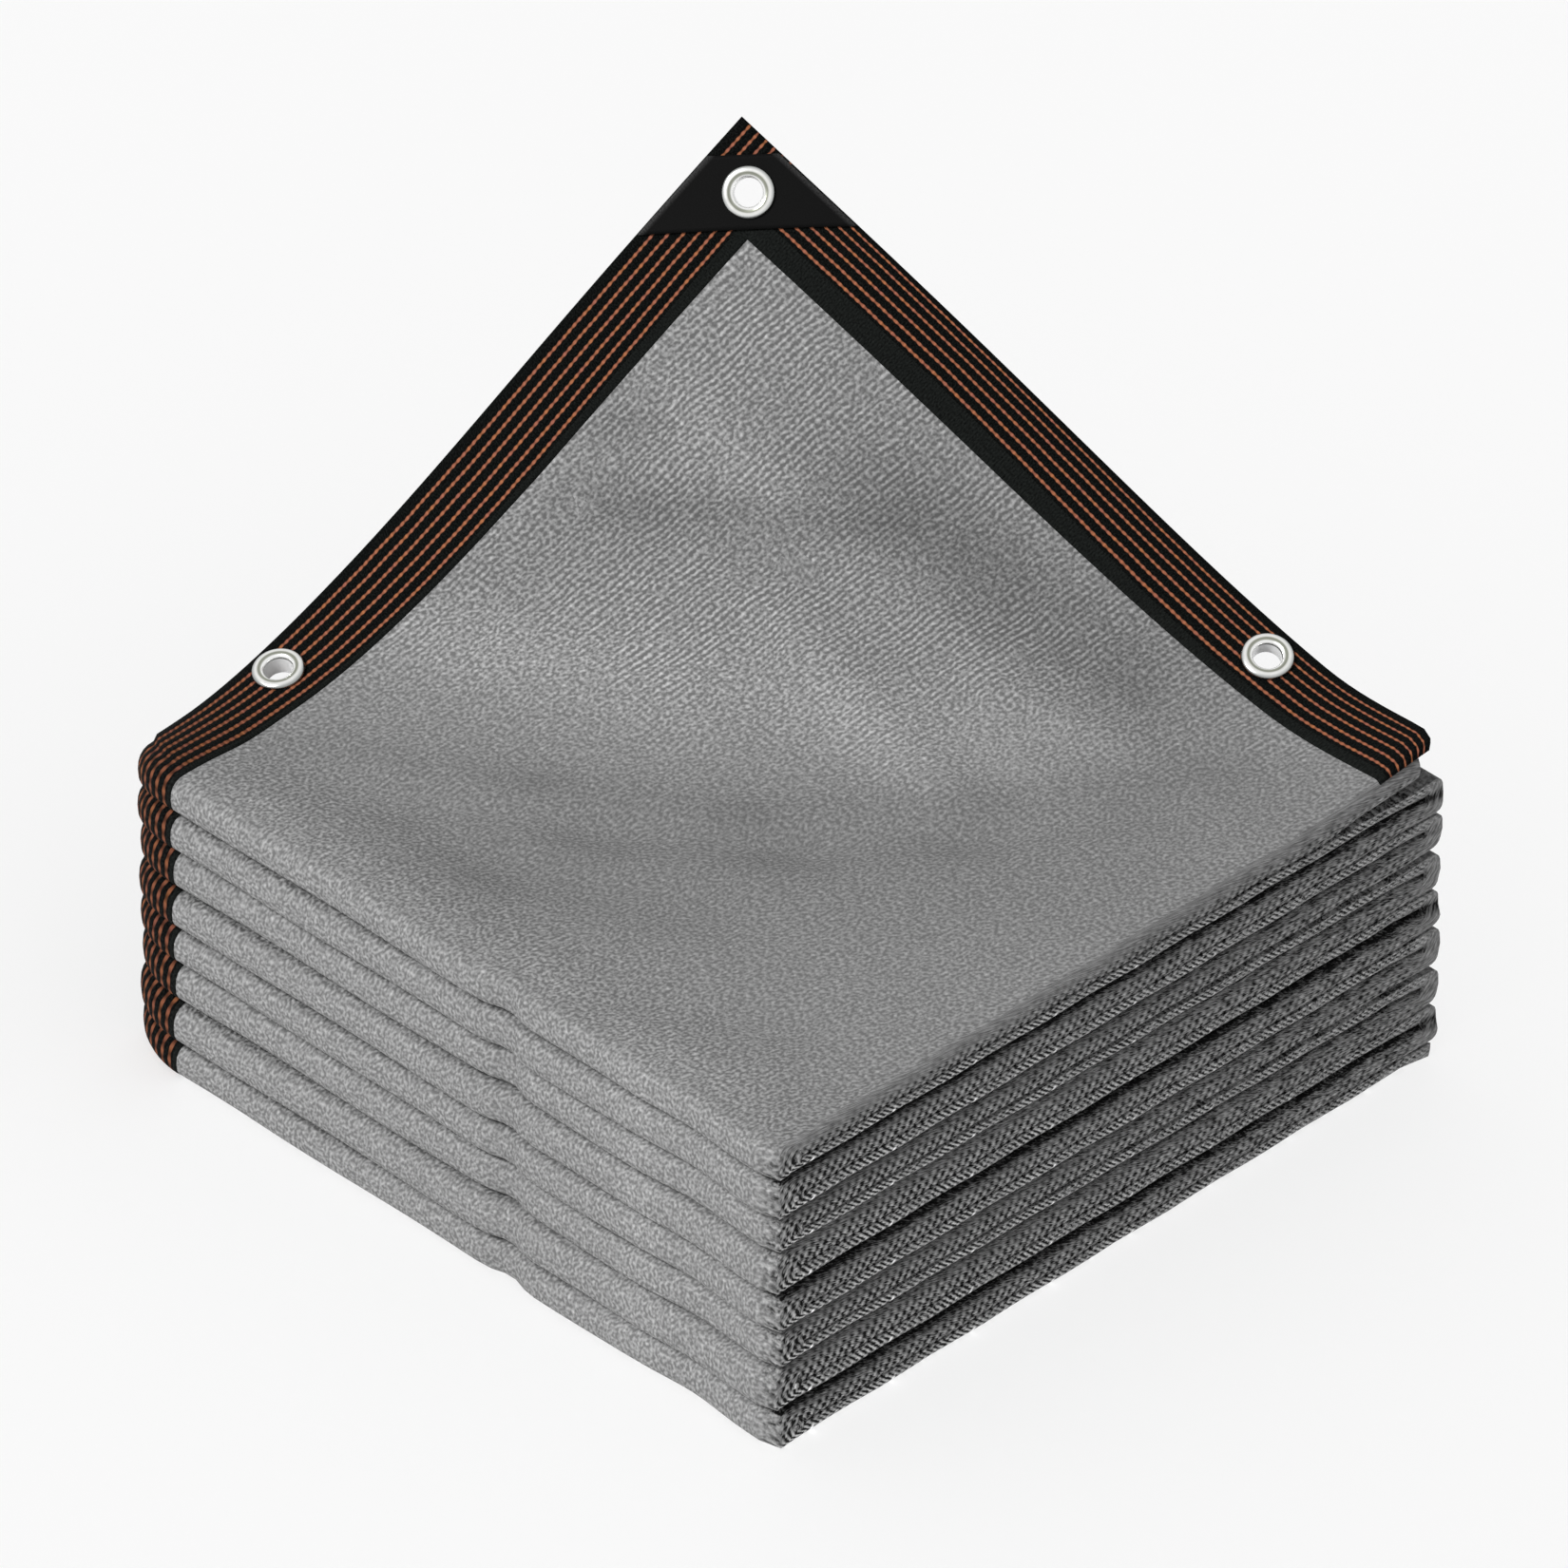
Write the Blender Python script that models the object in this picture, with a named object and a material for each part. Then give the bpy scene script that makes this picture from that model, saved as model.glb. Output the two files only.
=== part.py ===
"""Knitted shade cloth with a striped webbing binding, folded into a square stack.

The sheet is folded in half lengthwise and then back and forth, and the back corner of the
top layer is lifted, with its corner patch and eyelets. Metres, +Z up. x runs along the
face with the eight folds, y along the face with the sixteen folded edges, and the origin
is under the middle of the stack.
"""

import math

import bmesh
import bpy
from mathutils import Matrix, Vector

MM = 0.001

# Stack as it lies folded
WIDE = 406 * MM
DEEP = 403 * MM
CLOTH_GAP = 1.2 * MM
BINDING_GAP = 0.8 * MM
FIT_GAP = 0.3 * MM
# The lifted edge bulges past the stack, so the stack sits a little off the origin
CENTRING = Vector((0.62 * MM, -0.23 * MM, 0.0))

# Thickness of each fold at three corners and how far its nose sits back, in millimetres,
# lowest fold first. A fold is two layers.
FOLD_COLUMNS = ("left", "front", "right", "nose_back")
FOLDS = (
    (18.0, 19.4, 18.4, 1.2),
    (22.0, 23.6, 18.9, 0.0),
    (21.5, 19.4, 23.4, 1.6),
    (18.9, 19.4, 19.9, 0.8),
    (20.4, 22.8, 18.9, 0.2),
    (21.2, 18.4, 23.4, 1.4),
    (20.0, 20.6, 18.4, 0.0),
    (20.0, 18.4, 20.7, 0.6),
)
LAYERS = 2 * len(FOLDS)
TOP = LAYERS - 1
TURN_STEPS = 4

# Binding, narrower in plan than its 38 mm because it curls round the left corner
BINDING = 37.5 * MM
CURL_RADIUS = 52 * MM
DROOP = 11.5 * MM
DROOP_REACH = 82 * MM
DROOP_FLOOR = 10 * MM

# Rounding in plan at the front and right corners, and of each folded edge
FRONT_RADIUS = 12 * MM
RIGHT_RADIUS = 5 * MM
EDGE_DEPTH = 4.5 * MM
EDGE_ANGLES = (0, 45, 75)
# Where the top layer's lifted part begins, which is a piece of its own
FLAT_TOP = 50 * MM
# Neighbouring faces of the cloth that differ by less than this are merged
SAME_PLANE = math.radians(0.6)

# Lifted corner: the layer bends up about the line between the left and right corners
LIFT_ANGLE = math.radians(52.3)
LIFT_ARC = 208.5 * MM
LIFT_START = (-41.8 * MM, -32.3 * MM, 57.7 * MM)
LIFT_HALF_LINE = 286 * MM
LIFT_SHIFT = -13.2 * MM
LIFT_SHIFT_POWER = 1.15
LIFTED_THICKNESS = 2.6 * MM
LIFTED_FADE = 6 * MM

# Corner patch, along each edge from the tip, and its own thickness
PATCH_NEAR = 22.5 * MM
PATCH_FAR = 68 * MM
PATCH_THICKNESS = 0.8 * MM
PATCH_INSET = 1.0 * MM
PATCH_ROWS = 5
PATCH_STEPS = 8

# Eyelets: their place on the top layer and the room their flanges leave on its bend
EYELET_BORE = 12.7 * MM
EYELET_NECK = 14.4 * MM
EYELET_FLANGE = 23.3 * MM
EYELET_DOME = 1.6 * MM
EYELET_WASHER = 0.9 * MM
EYELET_SIDES = 24
EYELETS = {
    "eyelet_left": {"u": 15.5 * MM, "v": DEEP - 315 * MM, "seat": 1.4 * MM},
    "eyelet_corner": {"u": 24 * MM, "v": DEEP - 22 * MM, "seat": 0.5 * MM},
    "eyelet_right": {"u": 319 * MM, "v": DEEP - 15.5 * MM, "seat": 1.1 * MM},
}

# Spacing of the rows across the top layer, and stations along x through the cloth
CLOTH_END = DEEP - BINDING - FIT_GAP
CLOTH_ROW = 32 * MM
BINDING_ROW = 12.5 * MM
CLOTH_STATIONS = (75, 120, 165, 210, 255, 300, 345)
LAST_STATION = 394 * MM
END_STATION = 12.5 * MM
# The webbing on the hidden lower end stops short of the folded edge
LOWER_END_STOP = 386 * MM

FINISHES = {
    "knit": {"colour": (0.22, 0.22, 0.23), "roughness": 0.85, "metallic": 0.0},
    "webbing": {"colour": (0.015, 0.015, 0.017), "roughness": 0.7, "metallic": 0.0},
    "patch": {"colour": (0.012, 0.012, 0.013), "roughness": 0.45, "metallic": 0.0},
    "nickel": {"colour": (0.80, 0.80, 0.78), "roughness": 0.25, "metallic": 1.0},
}


def clear_scene():
    for thing in list(bpy.data.objects):
        bpy.data.objects.remove(thing, do_unlink=True)


def finish(name):
    """One Principled material for each kind of piece."""
    material = bpy.data.materials.get(name) or bpy.data.materials.new(name)
    material.use_nodes = True
    shader = material.node_tree.nodes["Principled BSDF"]
    values = FINISHES[name]
    shader.inputs["Base Color"].default_value = (*values["colour"], 1.0)
    shader.inputs["Roughness"].default_value = values["roughness"]
    shader.inputs["Metallic"].default_value = values["metallic"]
    return material


def crease_levels():
    """Height of each crease at the left, front and right corners, from the floor up."""
    levels = [(0.0, 0.0, 0.0)]
    for fold in FOLDS:
        row = dict(zip(FOLD_COLUMNS, fold))
        below = levels[-1]
        corners = zip(below, (row["left"], row["front"], row["right"]))
        levels.append(tuple(height + thick * MM for height, thick in corners))
    return levels


CREASES = crease_levels()
STACK_HEIGHT = CREASES[-1][1]


def crease(number, u, v):
    """Height of one crease at a place in plan, blended between the four corners."""
    left, front, right = CREASES[number]
    back = (left + right) / 2
    across = u / WIDE
    along = v / DEEP
    near = (1 - across) * left + across * front
    far = (1 - across) * back + across * right
    return (1 - along) * near + along * far


def layer_middle(layer, u, v):
    """Height of a layer's middle surface while it lies flat, and a quarter of its fold."""
    fold, upper = divmod(layer, 2)
    low = crease(fold, u, v)
    high = crease(fold + 1, u, v)
    quarter = (high - low) / 4
    height = low + quarter * (3 if upper else 1)
    slack = max(height - DROOP_FLOOR, 0.0) / (STACK_HEIGHT - DROOP_FLOOR)
    return height - slack * droop(u), quarter


def droop(u):
    """How far the free edge of the binding hangs below the rest, on the top layer."""
    return DROOP * max(1 - u / BINDING, 0.0) ** 2


def rounding(reach, radius):
    """How far a round corner draws back at a distance past the start of its arc."""
    past = min(max(reach, 0.0), radius)
    return radius - math.sqrt(radius ** 2 - past ** 2)


def nose(fold, u):
    """Place of a fold's outermost line, drawn back at the left and front corners."""
    own = dict(zip(FOLD_COLUMNS, FOLDS[fold]))["nose_back"] * MM
    left = rounding(BINDING - u, CURL_RADIUS)
    front = rounding(u - (WIDE - FRONT_RADIUS), FRONT_RADIUS)
    return own + left + front


def lift(u, v):
    """Point on the top layer once its corner is lifted: x, y and the rise.

    The distance past the bending line is wrapped on an arc that ends in a straight slope.
    """
    x = u - WIDE / 2
    y = v - DEEP / 2
    along = (x + y) / math.sqrt(2)
    out = (y - x) / math.sqrt(2)
    share = along / LIFT_HALF_LINE
    start = LIFT_START[0] + LIFT_START[1] * share + LIFT_START[2] * share ** 2
    past = max(out - start, 0.0)
    radius = LIFT_ARC / LIFT_ANGLE
    turned = min(past / radius, LIFT_ANGLE)
    straight = max(past - LIFT_ARC, 0.0)
    run = radius * math.sin(turned) + straight * math.cos(LIFT_ANGLE)
    rise = radius * (1 - math.cos(turned)) + straight * math.sin(LIFT_ANGLE)
    out += run - past
    along += LIFT_SHIFT * (past / LIFT_HALF_LINE) ** LIFT_SHIFT_POWER
    edge = droop(u) * (1 - math.exp(-((v / DROOP_REACH) ** 2)))
    return (along - out) / math.sqrt(2), (along + out) / math.sqrt(2), rise + edge


def edge_share(u):
    """Share of the half thickness left at a place in the rounded folded edge."""
    into = (u - (WIDE - EDGE_DEPTH)) / EDGE_DEPTH
    return math.sqrt(1 - min(max(into, 0.0), 1.0) ** 2)


def top_middle(u, v, gap):
    """Middle of the lifted top layer and its half thickness, thinner where it has risen."""
    x, y, rise = lift(u, v)
    flat, quarter = layer_middle(TOP, u, v)
    full = quarter - gap / 2
    kept = math.exp(-rise / LIFTED_FADE)
    half = LIFTED_THICKNESS / 2 + (full - LIFTED_THICKNESS / 2) * kept
    return Vector((x, y, flat - gap / 2 + rise + full - half)), half


def top_point(u, v, gap):
    """Middle, unit normal and half thickness of the top layer."""
    step = 1 * MM
    middle, half = top_middle(u, v, gap)
    side = top_middle(u + step, v, gap)[0] - middle
    ahead = top_middle(u, v + step, gap)[0] - middle
    return middle, side.cross(ahead).normalized(), half * edge_share(u)


def flat_point(layer, u, v, gap):
    """Middle, normal and half thickness of a layer that lies flat in the stack."""
    height, quarter = layer_middle(layer, u, v)
    way = 1 if layer % 2 else -1
    middle = Vector((u - WIDE / 2, v - DEEP / 2, height - gap / 2))
    return middle, Vector((0, 0, way)), (quarter - gap / 2) * edge_share(u)


def turn_point(layer, u, angle, gap):
    """Middle, normal and half thickness in the turn from a layer to the next one up."""
    at_front = layer % 2 == 0
    low, quarter = layer_middle(layer, u, 0 if at_front else DEEP)
    high, next_quarter = layer_middle(layer + 1, u, 0 if at_front else DEEP)
    radius = (high - low) / 2
    half = min(quarter, next_quarter) - gap / 2
    if at_front:
        centre = nose(layer // 2, u) + half + radius
        way = -1
    else:
        corner = rounding(u - (WIDE - RIGHT_RADIUS), RIGHT_RADIUS)
        centre = DEEP - corner - half - radius
        way = 1
    out = Vector((0, way * math.cos(angle), math.sin(angle)))
    middle = Vector((u - WIDE / 2, centre - DEEP / 2, (low + high) / 2 - gap / 2))
    return middle + out * radius, out * -way, half * edge_share(u)


def spaced(first, last, step):
    """Evenly spaced places from first to last, at most a step apart."""
    count = math.ceil((last - first) / step)
    return [first + (last - first) * number / count for number in range(count + 1)]


def folded_section(u, start, gap):
    """Middle line of the folded layers at one station, from the lowest layer's free end."""
    points = [flat_point(0, u, start, gap)]
    for layer in range(LAYERS - 1):
        for step in range(TURN_STEPS + 1):
            angle = math.pi * (step / TURN_STEPS - 0.5)
            points.append(turn_point(layer, u, angle, gap))
    return points


def top_section(u, start, end, gap, row_step):
    """Middle line of the top layer at one station, from front to back."""
    return [top_point(u, v, gap) for v in spaced(start, end, row_step)]


def skin(name, stations, material, same_plane=0.0):
    """Close the two offset surfaces of a row of sections into one solid."""
    rows = len(stations[0])
    verts = []
    for points in stations:
        verts += [middle + normal * half for middle, normal, half in points]
        verts += [middle - normal * half for middle, normal, half in points]
    size = 2 * rows
    faces = []
    for station in range(len(stations) - 1):
        here = station * size
        there = here + size
        for row in range(rows - 1):
            faces.append((here + row, there + row, there + row + 1, here + row + 1))
            low = here + rows + row
            faces.append((low, low + 1, low + size + 1, low + size))
        faces.append((here, here + rows, there + rows, there))
        last = here + rows - 1
        faces.append((last, last + size, last + size + rows, last + rows))
    for here, first in ((0, True), ((len(stations) - 1) * size, False)):
        for row in range(rows - 1):
            face = (here + row, here + row + 1, here + rows + row + 1, here + rows + row)
            faces.append(face if first else face[::-1])
    return make(name, verts, faces, material, same_plane)


def make(name, verts, faces, material, same_plane=0.0):
    """A mesh object with its faces turned outwards and its nearly flat ones merged."""
    mesh = bpy.data.meshes.new(name)
    mesh.from_pydata([tuple(vert + CENTRING) for vert in verts], [], faces)
    work = bmesh.new()
    work.from_mesh(mesh)
    if same_plane:
        bmesh.ops.dissolve_limit(
            work, angle_limit=same_plane, verts=work.verts, edges=work.edges
        )
    bmesh.ops.triangulate(work, faces=work.faces)
    bmesh.ops.recalc_face_normals(work, faces=work.faces)
    work.to_mesh(mesh)
    work.free()
    mesh.materials.append(finish(material))
    piece = bpy.data.objects.new(name, mesh)
    bpy.context.scene.collection.objects.link(piece)
    return piece


def edge_stations():
    """Stations through the rounded folded edge."""
    return [WIDE - EDGE_DEPTH * (1 - math.sin(math.radians(angle))) for angle in EDGE_ANGLES]


def cloth_places():
    places = [BINDING + FIT_GAP] + [place * MM for place in CLOTH_STATIONS]
    return places + [LOWER_END_STOP + FIT_GAP, LAST_STATION] + edge_stations()


def cloth():
    """The knitted sheet's folded layers up to the top one, where its lifted part begins. The
    lower end is longer past the end of its webbing."""
    joint = FLAT_TOP - FIT_GAP
    stations = []
    for u in cloth_places():
        start = CLOTH_END if u <= LOWER_END_STOP + FIT_GAP else DEEP
        stations.append(folded_section(u, start, CLOTH_GAP) + [top_point(u, joint, CLOTH_GAP)])
    return skin("cloth", stations, "knit", SAME_PLANE)


def cloth_lifted():
    """The rest of the same sheet: the top layer, which bends up towards its free corner."""
    stations = [
        top_section(u, FLAT_TOP, CLOTH_END, CLOTH_GAP, CLOTH_ROW) for u in cloth_places()
    ]
    return skin("cloth_lifted", stations, "knit", SAME_PLANE)


def binding_stations():
    return [BINDING * share / 4 for share in range(5)]


def side_binding():
    """Webbing along the long edges, which turns with every layer up to the top one."""
    joint = FLAT_TOP - FIT_GAP
    stations = [
        folded_section(u, DEEP, BINDING_GAP) + [top_point(u, joint, BINDING_GAP)]
        for u in binding_stations()
    ]
    return skin("side_binding", stations, "webbing")


def side_binding_lifted():
    """The same webbing on the top layer up to the tip, the strip that holds two eyelets."""
    stations = [
        top_section(u, FLAT_TOP, DEEP, BINDING_GAP, BINDING_ROW) for u in binding_stations()
    ]
    return skin("side_binding_lifted", stations, "webbing")


def end_binding_top():
    """Webbing on the lifted end of the sheet, up to the side binding."""
    places = spaced(BINDING + FIT_GAP, WIDE - 2 * EDGE_DEPTH, END_STATION) + edge_stations()
    rows = [DEEP - BINDING * share / 3 for share in (3, 2, 1, 0)]
    stations = [[top_point(u, v, BINDING_GAP) for v in rows] for u in places]
    return skin("end_binding_top", stations, "webbing")


def end_binding_bottom():
    """Webbing on the sheet's other end, at the back of the lowest layer."""
    places = [BINDING + FIT_GAP, WIDE / 2, LOWER_END_STOP]
    rows = [DEEP, DEEP - BINDING]
    stations = [[flat_point(0, u, v, BINDING_GAP) for v in rows] for u in places]
    return skin("end_binding_bottom", stations, "webbing")


def corner_patch():
    """Plate that follows the lifted corner, from a cut near the tip to a cut across it."""
    stations = []
    for share in range(PATCH_ROWS + 1):
        reach = PATCH_NEAR + (PATCH_FAR - PATCH_NEAR) * share / PATCH_ROWS
        points = []
        for step in range(PATCH_STEPS + 1):
            in_side = PATCH_INSET + (reach - PATCH_INSET) * step / PATCH_STEPS
            in_end = PATCH_INSET + (reach - PATCH_INSET) * (1 - step / PATCH_STEPS)
            middle, normal, half = top_point(in_side, DEEP - in_end, BINDING_GAP)
            lift_off = half + FIT_GAP + PATCH_THICKNESS / 2
            points.append((middle + normal * lift_off, normal, PATCH_THICKNESS / 2))
        stations.append(points)
    return skin("corner_patch", stations, "patch")


def eyelet_frame(name):
    """Matrix at an eyelet's place, with z along the cloth's normal, and the half thickness."""
    place = EYELETS[name]
    middle, normal, half = top_point(place["u"], place["v"], BINDING_GAP)
    turn = normal.to_track_quat("Z", "Y").to_matrix().to_4x4()
    return Matrix.Translation(middle) @ turn, half


def turned(name, profile, frame, sides, material):
    """Solid of revolution about the frame's z from a closed profile of radius and height."""
    verts = []
    for side in range(sides):
        angle = 2 * math.pi * side / sides
        for radius, height in profile:
            point = Vector((radius * math.cos(angle), radius * math.sin(angle), height))
            verts.append(frame @ point)
    count = len(profile)
    faces = []
    for side in range(sides):
        here = side * count
        there = (side + 1) % sides * count
        for row in range(count):
            ahead = (row + 1) % count
            faces.append((here + row, there + row, there + ahead, here + ahead))
    return make(name, verts, faces, material)


def eyelet(name):
    """Rolled ring with a flange on each side of the binding."""
    frame, half = eyelet_frame(name)
    over = PATCH_THICKNESS + FIT_GAP if name == "eyelet_corner" else 0.0
    seat = half + over + EYELETS[name]["seat"]
    base = -half - EYELETS[name]["seat"]
    bore = EYELET_BORE / 2
    neck = EYELET_NECK / 2
    flange = EYELET_FLANGE / 2
    profile = (
        (bore, base - EYELET_WASHER),
        (flange - 1 * MM, base - EYELET_WASHER),
        (flange - 0.4 * MM, base),
        (neck, base),
        (neck, seat),
        (flange, seat),
        (flange - 0.5 * MM, seat + 0.6 * EYELET_DOME),
        ((flange + bore) / 2 + 0.6 * MM, seat + EYELET_DOME),
        (bore + 1.2 * MM, seat + 0.75 * EYELET_DOME),
        (bore, seat),
    )
    return turned(name, profile, frame, EYELET_SIDES, "nickel")


def bore_through(piece, name):
    """Cut the clearance hole for an eyelet's neck."""
    frame, half = eyelet_frame(name)
    radius = EYELET_NECK / 2 + FIT_GAP
    reach = half + 3 * MM
    profile = ((0.01 * MM, -reach), (radius, -reach), (radius, reach), (0.01 * MM, reach))
    cutter = turned(name + "_cut", profile, frame, EYELET_SIDES, "nickel")
    bmesh_fill(cutter)
    cutter.hide_render = True
    cutter.display_type = "WIRE"
    cut = piece.modifiers.new("bore", "BOOLEAN")
    cut.object = cutter
    cut.solver = "EXACT"


def bmesh_fill(piece):
    """Weld the pinhole along a turned cutter's axis shut."""
    work = bmesh.new()
    work.from_mesh(piece.data)
    bmesh.ops.remove_doubles(work, verts=work.verts, dist=0.05 * MM)
    bmesh.ops.recalc_face_normals(work, faces=work.faces)
    work.to_mesh(piece.data)
    work.free()


def build():
    clear_scene()
    cloth()
    cloth_lifted()
    side_binding()
    lifted = side_binding_lifted()
    top = end_binding_top()
    end_binding_bottom()
    patch = corner_patch()
    bore_through(lifted, "eyelet_left")
    bore_through(lifted, "eyelet_corner")
    bore_through(patch, "eyelet_corner")
    bore_through(top, "eyelet_right")
    for name in EYELETS:
        eyelet(name)


build()
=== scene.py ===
import math

import bmesh
import bpy
import numpy as np
from mathutils import Matrix, Vector


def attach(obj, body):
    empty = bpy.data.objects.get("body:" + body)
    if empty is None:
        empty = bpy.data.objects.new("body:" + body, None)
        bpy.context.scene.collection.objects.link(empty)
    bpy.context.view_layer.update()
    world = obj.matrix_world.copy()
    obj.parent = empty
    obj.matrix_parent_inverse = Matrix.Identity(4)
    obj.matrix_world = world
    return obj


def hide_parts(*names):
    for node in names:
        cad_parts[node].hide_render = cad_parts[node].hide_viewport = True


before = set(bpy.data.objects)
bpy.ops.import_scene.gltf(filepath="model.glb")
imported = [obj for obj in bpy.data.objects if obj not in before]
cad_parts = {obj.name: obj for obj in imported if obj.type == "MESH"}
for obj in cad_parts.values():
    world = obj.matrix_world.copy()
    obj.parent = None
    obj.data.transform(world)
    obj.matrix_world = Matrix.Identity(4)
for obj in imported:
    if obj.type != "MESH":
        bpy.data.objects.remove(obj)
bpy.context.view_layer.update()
scene = bpy.context.scene
MM = 0.001

# Camera, floor and studio light
# The stack is seen from above its front corner, from far away through a long lens.
# The floor and the surroundings are a plain near white, and the light comes softly from
# the front left, so the face with the folded edges lies in shade.
PHOTO_WIDTH = 1650
PIXELS_PER_METRE = 2445
AZIMUTH = math.radians(45.4)
ELEVATION = math.radians(36.8)
LOOK_AT = Vector((-0.0162, 0.0208, 0.1227))
LENS = 600
SENSOR = 36
CAMERA_REACH = 100.0
WORLD_STRENGTH = 0.30
WORLD_IN_METAL = 0.95
KEY_STRENGTH = 2.95
KEY_FROM = Vector((-0.12, -0.62, 0.70))
KEY_SOFTNESS = math.radians(20)
FLOOR_COLOUR = (0.95, 0.95, 0.95)
FLOOR_ROUGHNESS = 0.9
FLOOR_HALF = 14.0

camera_data = bpy.data.cameras.new("camera")
camera_data.lens = LENS
camera_data.sensor_width = SENSOR
camera_data.clip_end = CAMERA_REACH
camera = bpy.data.objects.new("camera", camera_data)
scene.collection.objects.link(camera)
towards_camera = Vector((
    math.sin(AZIMUTH) * math.cos(ELEVATION),
    -math.cos(AZIMUTH) * math.cos(ELEVATION),
    math.sin(ELEVATION),
))
camera_distance = LENS / SENSOR * PHOTO_WIDTH / PIXELS_PER_METRE
camera.location = LOOK_AT + towards_camera * camera_distance
camera.rotation_euler = towards_camera.to_track_quat("Z", "Y").to_euler()
scene.camera = camera

scene.view_settings.view_transform = "Standard"
world = bpy.data.worlds.new("studio")
world.use_nodes = True
world.node_tree.nodes["Background"].inputs["Color"].default_value = (1.0, 1.0, 1.0, 1.0)
light_path = world.node_tree.nodes.new("ShaderNodeLightPath")
world_strength = world.node_tree.nodes.new("ShaderNodeMix")
world_strength.inputs[2].default_value = WORLD_STRENGTH
world_strength.inputs[3].default_value = WORLD_IN_METAL
world.node_tree.links.new(light_path.outputs["Is Glossy Ray"], world_strength.inputs[0])
world.node_tree.links.new(
    world_strength.outputs[0], world.node_tree.nodes["Background"].inputs["Strength"]
)
scene.world = world

key_data = bpy.data.lights.new("key", "SUN")
key_data.energy = KEY_STRENGTH
key_data.angle = KEY_SOFTNESS
key = bpy.data.objects.new("key", key_data)
key.rotation_euler = KEY_FROM.to_track_quat("Z", "Y").to_euler()
scene.collection.objects.link(key)
floor_light_data = bpy.data.lights.new("floor_light", "SUN")
floor_light_data.energy = KEY_STRENGTH
floor_light_data.use_shadow = False
floor_light = bpy.data.objects.new("floor_light", floor_light_data)
floor_light.rotation_euler = key.rotation_euler
scene.collection.objects.link(floor_light)

floor_mesh = bpy.data.meshes.new("floor")
floor_mesh.from_pydata(
    [
        (-FLOOR_HALF, -FLOOR_HALF, 0.0),
        (FLOOR_HALF, -FLOOR_HALF, 0.0),
        (FLOOR_HALF, FLOOR_HALF, 0.0),
        (-FLOOR_HALF, FLOOR_HALF, 0.0),
    ],
    [],
    [(0, 1, 2, 3)],
)
floor_finish = bpy.data.materials.new("floor")
floor_finish.use_nodes = True
floor_shader = floor_finish.node_tree.nodes["Principled BSDF"]
floor_shader.inputs["Base Color"].default_value = (*FLOOR_COLOUR, 1.0)
floor_shader.inputs["Roughness"].default_value = FLOOR_ROUGHNESS
floor_mesh.materials.append(floor_finish)
floor = bpy.data.objects.new("floor", floor_mesh)
scene.collection.objects.link(floor)
lit_by_floor_light = bpy.data.collections.new("lit_by_floor_light")
lit_by_floor_light.objects.link(floor)
floor_light.light_linking.receiver_collection = lit_by_floor_light
lit_by_key = bpy.data.collections.new("lit_by_key")
lit_by_key.objects.link(floor)
lit_by_key.collection_objects[0].light_linking.link_state = "EXCLUDE"
key.light_linking.receiver_collection = lit_by_key

# Cloth
# One knitted sheet of grey melange yarn. It is folded in half along its length, so that its
# two plies meet in a folded edge on the right face, and then back and forth into sixteen
# layers. The free corner of the top layer is lifted and bends up in one broad curve.
WIDE = 406 * MM
DEEP = 403 * MM
CENTRING = np.array((0.62 * MM, -0.23 * MM, 0.0))
BINDING = 37.5 * MM
# Between two layers of the knit, and of the thicker webbing
CLOTH_GAP = 1.2 * MM
BINDING_GAP = 0.8 * MM
# Thickness of each fold at the left, front and right corners and how far its nose sits back
FOLD_LEFT = np.array((18.0, 22.0, 21.5, 18.9, 20.4, 21.2, 20.0, 20.0)) * MM
FOLD_FRONT = np.array((19.4, 23.6, 19.4, 19.4, 22.8, 18.4, 20.6, 18.4)) * MM
FOLD_RIGHT = np.array((18.4, 18.9, 23.4, 19.9, 18.9, 23.4, 18.4, 20.7)) * MM
NOSE_BACK = np.array((1.2, 0.0, 1.6, 0.8, 0.2, 1.4, 0.0, 0.6)) * MM
LAYERS = 2 * len(FOLD_LEFT)
TOP = LAYERS - 1
# All noses share a slow wave, a narrow groove and a wide hollow: place, half width, depth
NOSE_WAVE = 0.5 * MM
NOSE_GROOVE = (240 * MM, 9 * MM, 3.6 * MM)
NOSE_HOLLOW = (352 * MM, 20 * MM, 2.0 * MM)
CURL_RADIUS = 52 * MM
# The free edge of the webbing sags, more so higher up. On the top layer the sag fades out
# from the left corner.
DROOP = 11.5 * MM
DROOP_REACH = 82 * MM
DROOP_FLOOR = 10 * MM
FRONT_RADIUS = 12 * MM
RIGHT_RADIUS = 5 * MM
EDGE_DEPTH = 4.5 * MM
# The top layer bends up on an arc past a curved line. The line's distance from the middle of
# the stack is a square law of the place along it.
LIFT_ANGLE = math.radians(52.3)
LIFT_ARC = 208.5 * MM
LIFT_START = (-41.8 * MM, -32.3 * MM, 57.7 * MM)
LIFT_HALF_LINE = 286 * MM
LIFT_SHIFT = -13.2 * MM
LIFT_SHIFT_POWER = 1.15
LIFTED_THICKNESS = 2.6 * MM
LIFTED_FADE = 6 * MM
# The stiff end of the webbing lifts the upper ply a little at the right corner
CORNER_RISE = 8 * MM
CORNER_FROM = (338 * MM, 300 * MM)
CORNER_POWER = 1.5
CLOTH_THICKNESS = 1.0 * MM
# A folded edge is squarer than a round one, most so near the front corner: the power on its
# cosine and sine at the left and at the front
NOSE_POWER = (0.80, 0.50)
LAYER_ROWS = 24
TURN_ROWS = 10
TOP_ROWS = 92
PLY_COLUMNS = 52
LOWER_PLY_COLUMNS = 9
EDGE_COLUMNS = 8
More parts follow.
